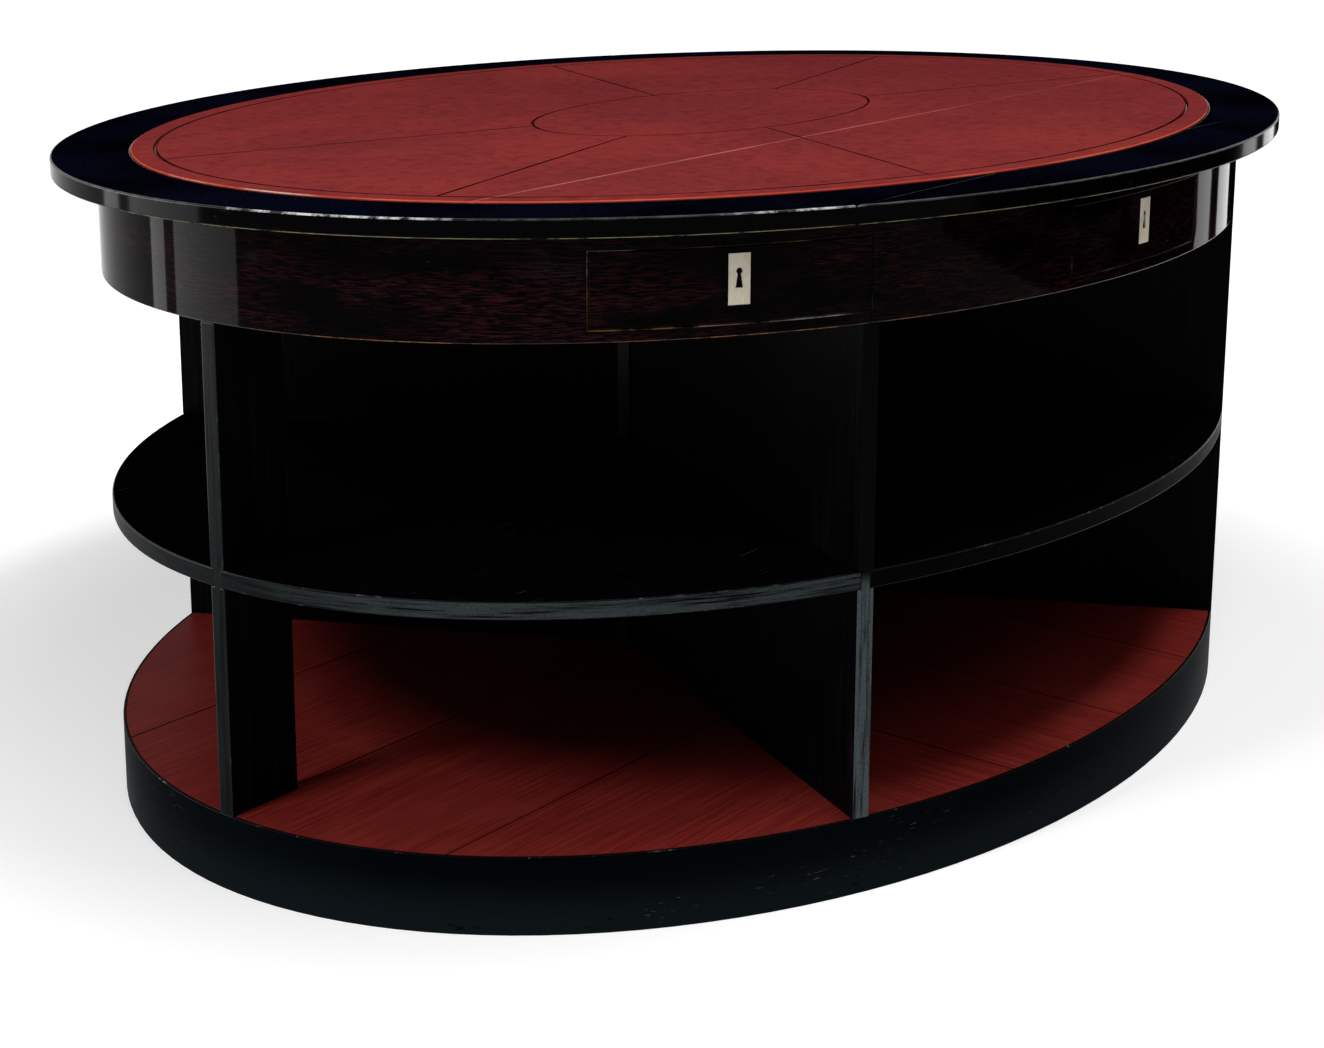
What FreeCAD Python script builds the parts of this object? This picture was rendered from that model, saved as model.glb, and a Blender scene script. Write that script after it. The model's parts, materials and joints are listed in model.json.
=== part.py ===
"""Oval captain's desk: oval plinth, uprights, open shelves, apron with six locking drawers, inlaid top.

Frame: origin at the middle of the footprint, on the floor. +X along the long axis, +Y to the
back, +Z up. All sizes are millimetres.
"""
import FreeCAD
import Part
import math
import os

# Overall sizes
LENGTH = 1800.0
WIDTH = 1340.0
HEIGHT = 762.0
OVERHANG = 51.0

# Plinth and its floor of stained boards, let in behind a thin lip
PLINTH_HEIGHT = 87.0
PLINTH_WALL = 22.0
FLOOR_THICKNESS = 22.0
LINING = 6.0
LIP = 3.0
BOARD_JOINT = 0.8

# Joints between the floor's boards, as shares of half the body's length or width
SIDE_BAY_JOINTS = (-0.252, 0.012, 0.276)
END_BAY_JOINTS = (-0.404, 0.0, 0.404)

# Uprights
UPRIGHT = 20.0
FIN_DEPTH = 95.0
PARTITION_LEAN = 27.6
PARTITION_MEET = 152.0
SPINE_REACH = 172.0

# Shelves, housed in grooves in the uprights, at a share of the height between plinth and apron
SHELF_SHARE = 0.511
SHELF = 20.0
HOUSING = 5.0

# Apron and the deck that the drawers run on
APRON_HEIGHT = 113.0
APRON_WALL = 20.0
BOTTOM_RAIL = 13.0

# Top: black rim in four lengths, rebated over a core board, and a red covering let into it
TOP = 22.0
RIM_WIDTH = 90.0
RIM_JOINT = 23.0
REBATE_WIDTH = 25.0
REBATE_HEIGHT = 9.0
COVERING = 4.0
COVERING_PROUD = 2.0
TOP_BORDER = 27.0
BORDER_LINE = 2.0
SEAM = 1.2
OVAL_LENGTH = 570.0
OVAL_WIDTH = 325.0
SEAM_ANGLES = (21.0, -21.0, 67.0)

# Drawers
DRAWER_WIDTH = 300.0
DRAWER_HEIGHT = 78.0
DRAWER_LENGTH = 330.0
DRAWER_GAP = 1.0
DRAWER_SIDE = 10.0
DRAWER_SIDE_HEIGHT = 66.0
DRAWER_BOTTOM = 5.0
DRAWER_BOTTOM_RISE = 6.0
DRAWER_GROOVE = 4.0
RUNNING_GAP = 0.3
GUIDE_WIDTH = 15.0
GUIDE_HEIGHT = 20.0
GUIDE_GAP = 0.5

# Escutcheon plate and keyhole
PLATE_WIDTH = 23.0
PLATE_HEIGHT = 52.0
PLATE_DROP = 6.0
PLATE_PROUD = 0.5
PLATE_DEPTH = 1.5
KEY_DROP = 18.0
KEY_RADIUS = 3.4
KEY_SLOT_LENGTH = 17.0
KEY_SLOT_TOP = 3.2
KEY_SLOT_FOOT = 8.4

# Drawer lock
LOCK_WIDTH = 46.0
LOCK_HEIGHT = 48.0
LOCK_DEPTH = 12.0
LOCK_COVER = 12.0
BOLT_WIDTH = 16.0
BOLT_THICKNESS = 7.0
BOLT_HEIGHT = 24.0
BOLT_THROW = 8.0
BOLT_GAP = 0.3

# Places worked out from the sizes above
BODY_LENGTH = LENGTH - 2 * OVERHANG
BODY_WIDTH = WIDTH - 2 * OVERHANG
TOP_BOTTOM = HEIGHT - TOP
APRON_BOTTOM = TOP_BOTTOM - APRON_HEIGHT
SHELF_TOP = PLINTH_HEIGHT + SHELF_SHARE * (APRON_BOTTOM - PLINTH_HEIGHT)
DECK_TOP = APRON_BOTTOM + BOTTOM_RAIL
OPENING_TOP = DECK_TOP + DRAWER_HEIGHT
FRONT_BOTTOM = DECK_TOP + DRAWER_GAP
FRONT_TOP = OPENING_TOP - DRAWER_GAP
REACH = LENGTH + WIDTH

Z_AXIS = FreeCAD.Vector(0, 0, 1)
ORIGIN = FreeCAD.Vector(0, 0, 0)
MIRROR_X = FreeCAD.Vector(1, 0, 0)
MIRROR_Y = FreeCAD.Vector(0, 1, 0)

# Drawer frames: local +Y points out of the desk, local X runs across the drawer
CORNER_FRAME = FreeCAD.Placement(
    FreeCAD.Vector(-PARTITION_MEET, 0, 0), FreeCAD.Rotation(Z_AXIS, 180 - PARTITION_LEAN))
SIDE_FRAME = FreeCAD.Placement(ORIGIN, FreeCAD.Rotation(Z_AXIS, 180))


def oval(length, width, bottom, top):
    """Solid elliptical slab."""
    ellipse = Part.Ellipse(FreeCAD.Vector(0, 0, bottom), length / 2, width / 2)
    face = Part.Face(Part.Wire(ellipse.toShape()))
    return face.extrude(FreeCAD.Vector(0, 0, top - bottom))


def top_oval(inset, bottom, top):
    """Slab with the outline of the top, moved in by inset."""
    return oval(LENGTH - 2 * inset, WIDTH - 2 * inset, bottom, top)


def body_oval(inset, bottom, top):
    """Slab with the outline of the plinth, shelves and apron, moved in by inset."""
    return oval(BODY_LENGTH - 2 * inset, BODY_WIDTH - 2 * inset, bottom, top)


def block(x0, x1, y0, y1, z0, z1, frame=None):
    """Box between two corners, in a drawer's frame where one is given."""
    shape = Part.makeBox(x1 - x0, y1 - y0, z1 - z0, FreeCAD.Vector(x0, y0, z0))
    if frame:
        shape.Placement = frame
    return shape


def mirrored(shape, across_x, across_y):
    """Copy of a shape on the other side of the short axis, the long axis or both."""
    if across_x:
        shape = shape.mirror(ORIGIN, MIRROR_X)
    if across_y:
        shape = shape.mirror(ORIGIN, MIRROR_Y)
    return shape


def outer_reach(frame, across):
    """Local Y at which the body's outline crosses local X = across."""
    start = frame.multVec(FreeCAD.Vector(across, 0, 0))
    out = frame.Rotation.multVec(FreeCAD.Vector(0, 1, 0))
    a = BODY_LENGTH / 2
    b = BODY_WIDTH / 2
    square = (out.x / a) ** 2 + (out.y / b) ** 2
    linear = start.x * out.x / a ** 2 + start.y * out.y / b ** 2
    rest = (start.x / a) ** 2 + (start.y / b) ** 2 - 1
    return (-linear + math.sqrt(linear ** 2 - square * rest)) / square


def save(name, shape):
    """Writes one node's STEP file, as one solid or as a group of solids."""
    solids = shape.Solids
    kept = solids[0] if len(solids) == 1 else Part.makeCompound(solids)
    kept.exportStep(os.path.join("parts", name + ".step"))


def end_wedges(bottom, top):
    """The left and right end bays, out to the middle planes of their partitions."""
    side = block(0, REACH, -REACH, REACH, bottom, top, CORNER_FRAME)
    wedge = side.common(mirrored(side, False, True))
    return [wedge, mirrored(wedge, True, False)]


def make_floor(bearing):
    """Boards laid across the desk in the side bays and along it in the end bays."""
    floor = body_oval(LIP, bearing, PLINTH_HEIGHT)
    wedges = end_wedges(bearing, PLINTH_HEIGHT)
    half = BOARD_JOINT / 2
    across = [share * BODY_LENGTH / 2 for share in SIDE_BAY_JOINTS]
    along = [share * BODY_WIDTH / 2 for share in END_BAY_JOINTS]
    side_gaps = [block(x - half, x + half, -REACH, REACH, bearing, PLINTH_HEIGHT) for x in across]
    end_gaps = [block(-REACH, REACH, y - half, y + half, bearing, PLINTH_HEIGHT) for y in along]
    boards = floor.cut(wedges + side_gaps).Solids
    for wedge in wedges:
        boards += floor.common(wedge).cut(end_gaps).Solids
    return Part.makeCompound(boards)


def make_plinth():
    """Band with its lip, the bearer board inside it, and the stained boards on both."""
    bearing = PLINTH_HEIGHT - LINING
    band = body_oval(0, 0, PLINTH_HEIGHT).cut(body_oval(PLINTH_WALL, 0, bearing))
    band = band.cut(body_oval(LIP, bearing, PLINTH_HEIGHT))
    save("plinth_band", band)
    save("floor_board", body_oval(PLINTH_WALL, bearing - FLOOR_THICKNESS, bearing))
    save("floor_lining", make_floor(bearing))


def make_uprights(thickness):
    """Fins, partitions and spine by name, at a thickness."""
    half = thickness / 2
    body_end = BODY_LENGTH / 2
    fin = block(-REACH, FIN_DEPTH - body_end, -half, half, PLINTH_HEIGHT, APRON_BOTTOM)
    fin = fin.common(body_oval(0, PLINTH_HEIGHT, APRON_BOTTOM))
    partition = block(-half, half, -REACH, REACH, PLINTH_HEIGHT, APRON_BOTTOM, CORNER_FRAME)
    partition = partition.common(body_oval(0, PLINTH_HEIGHT, APRON_BOTTOM))
    partition = partition.common(
        block(-REACH, REACH, -REACH, -half, PLINTH_HEIGHT, APRON_BOTTOM))
    spine = block(-SPINE_REACH, SPINE_REACH, -half, half, PLINTH_HEIGHT, APRON_BOTTOM)
    return {
        "end_fin_left": fin,
        "end_fin_right": mirrored(fin, True, False),
        "partition_front_left": partition,
        "partition_front_right": mirrored(partition, True, False),
        "partition_back_left": mirrored(partition, False, True),
        "partition_back_right": mirrored(partition, True, True),
        "centre_spine": spine,
    }


def make_carcass():
    """Four shelf boards housed in the uprights, and the uprights with their grooves."""
    uprights = make_uprights(UPRIGHT)
    cores = make_uprights(UPRIGHT - 2 * HOUSING)
    slab = body_oval(0, SHELF_TOP - SHELF, SHELF_TOP)
    boards = slab.cut(list(cores.values())).Solids
    for board in boards:
        centre = board.CenterOfMass
        if abs(centre.x) > abs(centre.y):
            name = "end_shelf_left" if centre.x < 0 else "end_shelf_right"
        else:
            name = "side_shelf_front" if centre.y < 0 else "side_shelf_back"
        save(name, board)
    for name, upright in uprights.items():
        save(name, upright.cut(boards))


def drawer_kinds():
    """Frame and edges across of the two kinds of drawer."""
    half = DRAWER_WIDTH / 2
    return {"corner": (CORNER_FRAME, 0.0, DRAWER_WIDTH), "side": (SIDE_FRAME, -half, half)}


def drawer_places():
    """Each drawer's name and kind, and the mirrors that bring it round."""
    return (
        ("drawer_front_left", "corner", False, False),
        ("drawer_front_right", "corner", True, False),
        ("drawer_back_left", "corner", False, True),
        ("drawer_back_right", "corner", True, True),
        ("drawer_front_middle", "side", False, False),
        ("drawer_back_middle", "side", False, True),
    )


def apron_ring(bottom, top):
    """Ring with the apron's wall."""
    return body_oval(0, bottom, top).cut(body_oval(APRON_WALL, bottom, top))


def make_keyhole(frame, across):
    """Tool that cuts the keyhole straight through the plate and the drawer front."""
    near = outer_reach(frame, across) - LOCK_COVER
    far = near + 2 * LOCK_COVER
    eye = FRONT_TOP - PLATE_DROP - KEY_DROP
    foot = eye - KEY_SLOT_LENGTH
    corners = (
        (across - KEY_SLOT_TOP / 2, eye), (across + KEY_SLOT_TOP / 2, eye),
        (across + KEY_SLOT_FOOT / 2, foot), (across - KEY_SLOT_FOOT / 2, foot),
    )
    points = [FreeCAD.Vector(x, near, z) for x, z in corners]
    slot = Part.Face(Part.makePolygon(points + points[:1]))
    slot = slot.extrude(FreeCAD.Vector(0, far - near, 0))
    hole = Part.makeCylinder(
        KEY_RADIUS, far - near, FreeCAD.Vector(across, near, eye), FreeCAD.Vector(0, 1, 0))
    keyhole = slot.fuse(hole)
    keyhole.Placement = frame
    return keyhole


def bolt_block(frame, across, gap, lift):
    """The lock's bolt, or with a gap the pocket that it slides in."""
    middle = outer_reach(frame, across) - LOCK_COVER - LOCK_DEPTH / 2
    return block(
        across - BOLT_WIDTH / 2 - gap, across + BOLT_WIDTH / 2 + gap,
        middle - BOLT_THICKNESS / 2 - gap, middle + BOLT_THICKNESS / 2 + gap,
        FRONT_TOP - BOLT_HEIGHT - gap, FRONT_TOP + lift, frame)


def make_drawer(frame, edge_a, edge_b):
    """Front, box, bottom, escutcheon, lock case and bolt of one drawer."""
    left = edge_a + DRAWER_GAP
    right = edge_b - DRAWER_GAP
    middle = (edge_a + edge_b) / 2
    face = outer_reach(frame, middle)
    back = face - DRAWER_LENGTH
    inside = body_oval(APRON_WALL, APRON_BOTTOM, TOP_BOTTOM)

    plate_top = FRONT_TOP - PLATE_DROP
    plate_skin = body_oval(-PLATE_PROUD, APRON_BOTTOM, TOP_BOTTOM)
    plate_skin = plate_skin.cut(body_oval(PLATE_DEPTH, APRON_BOTTOM, TOP_BOTTOM))
    plate = plate_skin.common(block(
        middle - PLATE_WIDTH / 2, middle + PLATE_WIDTH / 2, face - LOCK_COVER, face + LOCK_COVER,
        plate_top - PLATE_HEIGHT, plate_top, frame))
    keyhole = make_keyhole(frame, middle)

    case = block(
        middle - LOCK_WIDTH / 2, middle + LOCK_WIDTH / 2,
        face - LOCK_COVER - LOCK_DEPTH, face - LOCK_COVER,
        FRONT_TOP - LOCK_HEIGHT, FRONT_TOP, frame)

    front = apron_ring(FRONT_BOTTOM, FRONT_TOP)
    front = front.common(block(left, right, back, REACH, FRONT_BOTTOM, FRONT_TOP, frame))
    front = front.cut([plate, keyhole, case])

    box_bottom = DECK_TOP + RUNNING_GAP + DRAWER_GAP
    box_top = box_bottom + DRAWER_SIDE_HEIGHT
    panel_low = box_bottom + DRAWER_BOTTOM_RISE
    panel_top = panel_low + DRAWER_BOTTOM
    inner_left = left + DRAWER_SIDE
    inner_right = right - DRAWER_SIDE
    bottom = block(
        inner_left - DRAWER_GROOVE, inner_right + DRAWER_GROOVE,
        back + DRAWER_SIDE - DRAWER_GROOVE, REACH, panel_low, panel_top, frame).common(inside)
    sides = [
        block(left, inner_left, back, REACH, box_bottom, box_top, frame).common(inside),
        block(inner_right, right, back, REACH, box_bottom, box_top, frame).common(inside),
    ]
    back_board = block(inner_left, inner_right, back, back + DRAWER_SIDE, box_bottom, box_top, frame)
    walls = [wall.cut(bottom) for wall in sides + [back_board]]
    return {
        "front": front,
        "box": Part.makeCompound(walls),
        "bottom": bottom,
        "escutcheon": plate.cut(keyhole),
        "lock": case.cut(bolt_block(frame, middle, BOLT_GAP, BOLT_THROW)),
        "bolt": bolt_block(frame, middle, 0.0, 0.0),
    }


def make_drawers():
    """All six drawers: mirror images of one corner drawer and of one side drawer."""
    kinds = {kind: make_drawer(*place) for kind, place in drawer_kinds().items()}
    for name, kind, across_x, across_y in drawer_places():
        for piece, shape in kinds[kind].items():
            save(name + "_" + piece, mirrored(shape, across_x, across_y))


def make_guides(frame, edge_a, edge_b):
    """Strips on the deck, one along each side of a drawer."""
    back = outer_reach(frame, (edge_a + edge_b) / 2) - DRAWER_LENGTH
    strips = (
        (edge_a + DRAWER_GAP - GUIDE_GAP - GUIDE_WIDTH, edge_a + DRAWER_GAP - GUIDE_GAP),
        (edge_b - DRAWER_GAP + GUIDE_GAP, edge_b - DRAWER_GAP + GUIDE_GAP + GUIDE_WIDTH),
    )
    inside = body_oval(APRON_WALL, DECK_TOP, DECK_TOP + GUIDE_HEIGHT)
    return [
        block(a, b, back, REACH, DECK_TOP, DECK_TOP + GUIDE_HEIGHT, frame).common(inside)
        for a, b in strips
    ]


def make_apron():
    """Deck, drawer guides, and the apron in four lengths with the drawer openings."""
    ring = apron_ring(APRON_BOTTOM, TOP_BOTTOM)
    guides = []
    tools = []
    for _, kind, across_x, across_y in drawer_places():
        frame, edge_a, edge_b = drawer_kinds()[kind]
        middle = (edge_a + edge_b) / 2
        opening = block(
            edge_a, edge_b, outer_reach(frame, middle) - DRAWER_LENGTH, REACH,
            DECK_TOP, OPENING_TOP, frame)
        mortise = bolt_block(frame, middle, BOLT_GAP, DRAWER_GAP + BOLT_THROW + BOLT_GAP)
        tools += [mirrored(tool, across_x, across_y) for tool in (opening, mortise)]
        guides += [mirrored(g, across_x, across_y) for g in make_guides(frame, edge_a, edge_b)]
    left_wedge, right_wedge = end_wedges(APRON_BOTTOM, TOP_BOTTOM)
    front_half = block(-REACH, REACH, -REACH, 0, APRON_BOTTOM, TOP_BOTTOM)
    middle_ring = ring.cut([left_wedge, right_wedge])
    lengths = {
        "apron_left_end": ring.common(left_wedge),
        "apron_right_end": ring.common(right_wedge),
        "apron_front": middle_ring.common(front_half),
        "apron_back": middle_ring.common(mirrored(front_half, False, True)),
    }
    for name, length in lengths.items():
        save(name, length.cut(tools))
    save("drawer_deck", body_oval(APRON_WALL, APRON_BOTTOM, DECK_TOP))
    save("drawer_guides", Part.makeCompound(guides))


def make_top():
    """Core, rebated rim, and the covering: border, sectors and middle oval."""
    tongue_top = TOP_BOTTOM + REBATE_HEIGHT
    bed = HEIGHT - COVERING
    core = top_oval(RIM_WIDTH - REBATE_WIDTH, TOP_BOTTOM, tongue_top)
    core = core.fuse(top_oval(RIM_WIDTH, tongue_top, bed)).removeSplitter()
    rim = top_oval(0, TOP_BOTTOM, HEIGHT - COVERING_PROUD)
    rim = rim.cut(core).cut(top_oval(RIM_WIDTH, bed, HEIGHT))
    joint = WIDTH / 2 - RIM_WIDTH - RIM_JOINT
    between = block(-REACH, REACH, -joint, joint, TOP_BOTTOM, HEIGHT)
    rim_lengths = rim.common(between).Solids + rim.cut(between).Solids
    border_inset = RIM_WIDTH + TOP_BORDER
    border = top_oval(RIM_WIDTH, bed, HEIGHT).cut(top_oval(border_inset, bed, HEIGHT))
    middle = oval(OVAL_LENGTH, OVAL_WIDTH, bed, HEIGHT)
    field = top_oval(border_inset + BORDER_LINE, bed, HEIGHT)
    field = field.cut(oval(OVAL_LENGTH + 2 * SEAM, OVAL_WIDTH + 2 * SEAM, bed, HEIGHT))
    seams = []
    for angle in SEAM_ANGLES:
        rise = WIDTH * math.sin(math.radians(angle))
        run = LENGTH * math.cos(math.radians(angle))
        turn = math.degrees(math.atan2(rise, run))
        frame = FreeCAD.Placement(ORIGIN, FreeCAD.Rotation(Z_AXIS, turn))
        seams.append(block(-REACH, REACH, -SEAM / 2, SEAM / 2, bed, HEIGHT, frame))
    save("top_core", core)
    save("top_rim", Part.makeCompound(rim_lengths))
    save("top_border", border)
    save("top_field", Part.makeCompound(field.cut(seams).Solids + [middle]))


os.makedirs("parts", exist_ok=True)
make_plinth()
make_carcass()
make_apron()
make_drawers()
make_top()
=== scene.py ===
"""Oval captain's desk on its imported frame: polished black wood, red covering, stained floor boards.

Metres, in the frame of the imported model: +X along the long axis, +Y to the back, +Z up.
"""
import json
import math

import bmesh
import bpy
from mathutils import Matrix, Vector

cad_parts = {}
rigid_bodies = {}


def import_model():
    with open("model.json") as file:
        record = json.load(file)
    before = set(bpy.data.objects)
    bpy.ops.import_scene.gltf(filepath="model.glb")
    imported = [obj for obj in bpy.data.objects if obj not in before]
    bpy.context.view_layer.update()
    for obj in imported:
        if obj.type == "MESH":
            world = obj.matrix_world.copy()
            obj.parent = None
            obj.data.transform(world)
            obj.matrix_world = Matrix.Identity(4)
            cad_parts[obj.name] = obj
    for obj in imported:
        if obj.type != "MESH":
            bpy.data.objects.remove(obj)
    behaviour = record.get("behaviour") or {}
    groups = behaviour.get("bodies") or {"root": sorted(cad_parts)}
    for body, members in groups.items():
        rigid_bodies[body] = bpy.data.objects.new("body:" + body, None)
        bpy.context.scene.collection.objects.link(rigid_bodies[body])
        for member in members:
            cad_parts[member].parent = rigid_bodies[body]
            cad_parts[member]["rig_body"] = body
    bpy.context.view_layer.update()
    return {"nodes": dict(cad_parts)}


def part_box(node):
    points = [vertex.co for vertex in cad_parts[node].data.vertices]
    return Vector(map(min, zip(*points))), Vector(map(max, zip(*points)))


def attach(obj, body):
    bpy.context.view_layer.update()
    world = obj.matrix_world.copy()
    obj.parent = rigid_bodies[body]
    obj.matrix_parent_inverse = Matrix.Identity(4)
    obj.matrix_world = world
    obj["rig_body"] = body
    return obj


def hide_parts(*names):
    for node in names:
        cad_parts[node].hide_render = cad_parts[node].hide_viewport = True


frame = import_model()

# Camera, fitted to the photograph's ovals
PHOTO_WIDTH = 1324
SENSOR_WIDTH = 36.0
FOCAL_PIXELS = 2323.1
CAMERA_PLACE = (-2.3867, -1.7864, 1.129)
CAMERA_PITCH = -12.31
CAMERA_HEADING = 38.646
CAMERA_SHIFT = (0.022, -0.15)


def half_of(node):
    """Half length and half width of a node that stands round the middle of the frame."""
    low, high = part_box(node)
    return max(high.x, -low.x), max(high.y, -low.y)


def heights_of(node):
    """Lowest and highest height of a node."""
    low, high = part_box(node)
    return low.z, high.z


# Ovals of the top, the body and the middle of the covering's border, as half lengths and half widths
TOP_HALF = half_of("top_rim")
BODY_HALF = half_of("plinth_band")
BORDER_MIDDLE_HALF = tuple(sum(pair) / 2 for pair in zip(half_of("top_border"), half_of("top_field")))

# Shares of an oval: a rim edge between the first two belongs to a joint
INNER_RIM = 0.912
OUTER_RIM = 0.992
ON_OVAL = 0.98
NEAR_OVAL = 0.9
DEEP_INSIDE = 0.8

# How squarely a face looks outwards or upwards, as a cosine
ALONG_OVAL = 0.99
LOOKS_OUT = 0.7
LOOKS_UP = 0.6

# Heights of the rim, the shelf and the apron's foot
RIM_FOOT, RIM_TOP = heights_of("top_rim")
SHELF_FOOT, SHELF_TOP = heights_of("side_shelf_front")
APRON_FOOT, _ = heights_of("apron_front")

# Heights just over the middle of the rim's upright edges, and just over the edges of the apron's foot
OVER_RIM_MIDDLE = (RIM_FOOT + RIM_TOP) / 2 + 0.001
OVER_APRON_FOOT = APRON_FOOT + 0.005

# Heights where the rim's cream line, partly a painted highlight, and the grey at the plinth's foot, painted
# bounce light from the floor, begin, and where they are full
RIM_LINE = (RIM_FOOT + 0.0014, RIM_FOOT + 0.0006)
PLINTH_BOUNCE_FADE = (0.075, 0.004)

# Pale line along the covering: its place at the middle, its slope, and its fading width
LONG_LINE_Y = -0.2375
LONG_LINE_SLOPE = 0.0257
LONG_LINE_WIDTH = (0.0026, 0.0010)

# Partitions, which part the bays of the floor, and how far the painted light on the end shelves' front faces
# reaches as x times y
PARTITION_SLOPE = math.tan(math.radians(27.6))
PARTITION_MEET = 0.152
LIT_CORNER_REACH = 0.22

# Meshes: edges sharper than the first angle are rounded, faces flatter than the second are joined
SHARP_ANGLE = math.radians(30)
FLAT_ANGLE = math.radians(0.2)
WELD = 1e-6
EDGE_SEGMENTS = 2
NORMAL_WEIGHT = 100

# Studio: share of light from all round, glow of the floor where it is seen, and what the polish mirrors
WORLD_FILL = 0.15
FLOOR_RADIUS = 60.0
FLOOR_SIDES = 64
FLOOR_GLOW = (0.35, 0.95)
GLOW_REACH = (0.85, 1.8)
LAMP_FACTOR = 4.0
LEFT_END = (-0.846, 0.0)
RIGHT_END = (0.43, -0.53)
PANEL_REACH = 2.2
PANEL_HEIGHT = 1.4
CARD_REACH = 3.9
CARD_HEIGHT = 1.6

# Lacquer, from black to the grey green that it rubs to; on the boards' front faces the grey greens are
# partly a painted reflection of the floor
BLACK = (0.0016, 0.0017, 0.0020)
JET = (0.0007, 0.0008, 0.0012)
BROWN_BLACK = (0.0042, 0.0030, 0.0032)
DARK_RUBBED_AND_REFLECTION = (0.0085, 0.0110, 0.0118)
RUBBED_AND_REFLECTION = (0.040, 0.050, 0.053)
PALE_RUBBED_AND_REFLECTION = (0.080, 0.100, 0.105)
SCRATCH_GREY = (0.032, 0.033, 0.034)

# Apron, drawer fronts and rim
FIGURE_BLACK = (0.0005, 0.0003, 0.0006)
FIGURE_RED = (0.030, 0.0060, 0.0085)
BLOOM_GREY = (0.021, 0.016, 0.022)
SCUFF_GREY = (0.070, 0.072, 0.080)
APRON_EDGE_BLACK = (0.004, 0.002, 0.002)
APRON_EDGE_BROWN = (0.21, 0.090, 0.030)
DRAWER_EDGE_BLACK = (0.0012, 0.0009, 0.0010)
DRAWER_EDGE_BROWN = (0.17, 0.075, 0.028)
DRAWER_EDGE_GREY = (0.36, 0.37, 0.38)
RIM_BLACK = (0.0003, 0.0003, 0.0014)
RIM_BLUE = (0.0012, 0.0018, 0.0060)
RIM_DUST = (0.030, 0.032, 0.040)
SIDE_BLACK = (0.0007, 0.0007, 0.0012)
SIDE_RUB = (0.010, 0.009, 0.009)
# Rim's upper arris: white that is partly wear and partly a painted highlight
RIM_WORN_WHITE_AND_HIGHLIGHT = (0.58, 0.58, 0.57)
# Rim's lower arris: cream that is partly wear and partly a painted highlight
RIM_CREAM_AND_HIGHLIGHT = (0.30, 0.25, 0.15)
RIM_JOINT_PALE = (0.11, 0.10, 0.085)

# Worn edges of uprights, shelves and plinth, and the plinth's face
UPRIGHT_WEAR = (0.060, 0.065, 0.070)
SHELF_WEAR = (0.06, 0.06, 0.06)
END_SHELF_WEAR = (0.07, 0.07, 0.075)
PLINTH_WEAR = (0.26, 0.30, 0.33)
PLINTH_BLACK = (0.0004, 0.0008, 0.0015)
PLINTH_BLUE = (0.0013, 0.0026, 0.0036)
# Plinth's foot: greyer as painted bounce light from the floor
PLINTH_FOOT_BOUNCE = (0.0062, 0.0095, 0.0118)
PLINTH_RUB = (0.0006, 0.0008, 0.0010)
PLINTH_SCUFF = (0.055, 0.062, 0.066)

# Covering and floor boards
COVERING_DULL = (0.168, 0.0225, 0.0240)
COVERING_RED = (0.222, 0.0290, 0.0270)
COVERING_LIGHT = (0.27, 0.040, 0.036)
COVERING_DARK = (0.090, 0.0100, 0.0120)
COVERING_GRIT = (0.085, 0.010, 0.012)
COVERING_SCRATCH = (0.38, 0.12, 0.10)
COVERING_LINE = (0.46, 0.15, 0.13)
# Covering's outer edge: its red brightened as a painted highlight, and cream at the ends as a painted
# highlight
COVERING_EDGE_RED_HIGHLIGHT = (0.44, 0.050, 0.026)
COVERING_EDGE_ORANGE_HIGHLIGHT = (0.62, 0.110, 0.050)
COVERING_EDGE_CREAM_HIGHLIGHT = (0.50, 0.42, 0.30)
SEAM_PALE = (0.060, 0.008, 0.008)
SEAM_DEEP = (0.004, 0.001, 0.001)
BOARD_DULL = (0.118, 0.0105, 0.0085)
BOARD_RED = (0.178, 0.0190, 0.0150)
BOARD_LIGHT = (0.205, 0.027, 0.021)
BOARD_DARK = (0.045, 0.005, 0.004)
BOARD_JOINT_PALE = (0.050, 0.006, 0.005)
BOARD_JOINT_DEEP = (0.012, 0.002, 0.001)

# Keyhole plates, plain wood, locks and floor of the studio
BONE_DULL = (0.86, 0.77, 0.57)
BONE_PALE = (0.95, 0.88, 0.72)
BONE_PORE = (0.62, 0.48, 0.28)
WOOD_DULL = (0.21, 0.105, 0.05)
WOOD_PALE = (0.38, 0.22, 0.115)
WOOD_RING = (0.15, 0.07, 0.03)
BRASS = ((0.36, 0.24, 0.08), (0.62, 0.45, 0.18))
STEEL = ((0.30, 0.30, 0.31), (0.52, 0.52, 0.53))
FLOOR_GREYS = ((0.80, 0.80, 0.80), (0.83, 0.83, 0.83))
WHITE = (1.0, 1.0, 1.0, 1.0)
CARD_BLACK = (0.0, 0.0, 0.0, 1.0)

# Grain of long pieces, as features to the metre along X, Y and Z
SHELF_STREAKS = (11, 11, 330)
UPRIGHT_STREAKS = (160, 160, 8)

# Places of a finish's materials on its piece
FACE = 0
EDGE = 1
OUTER = 2
LOWER = 3
JOINT = 4


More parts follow.
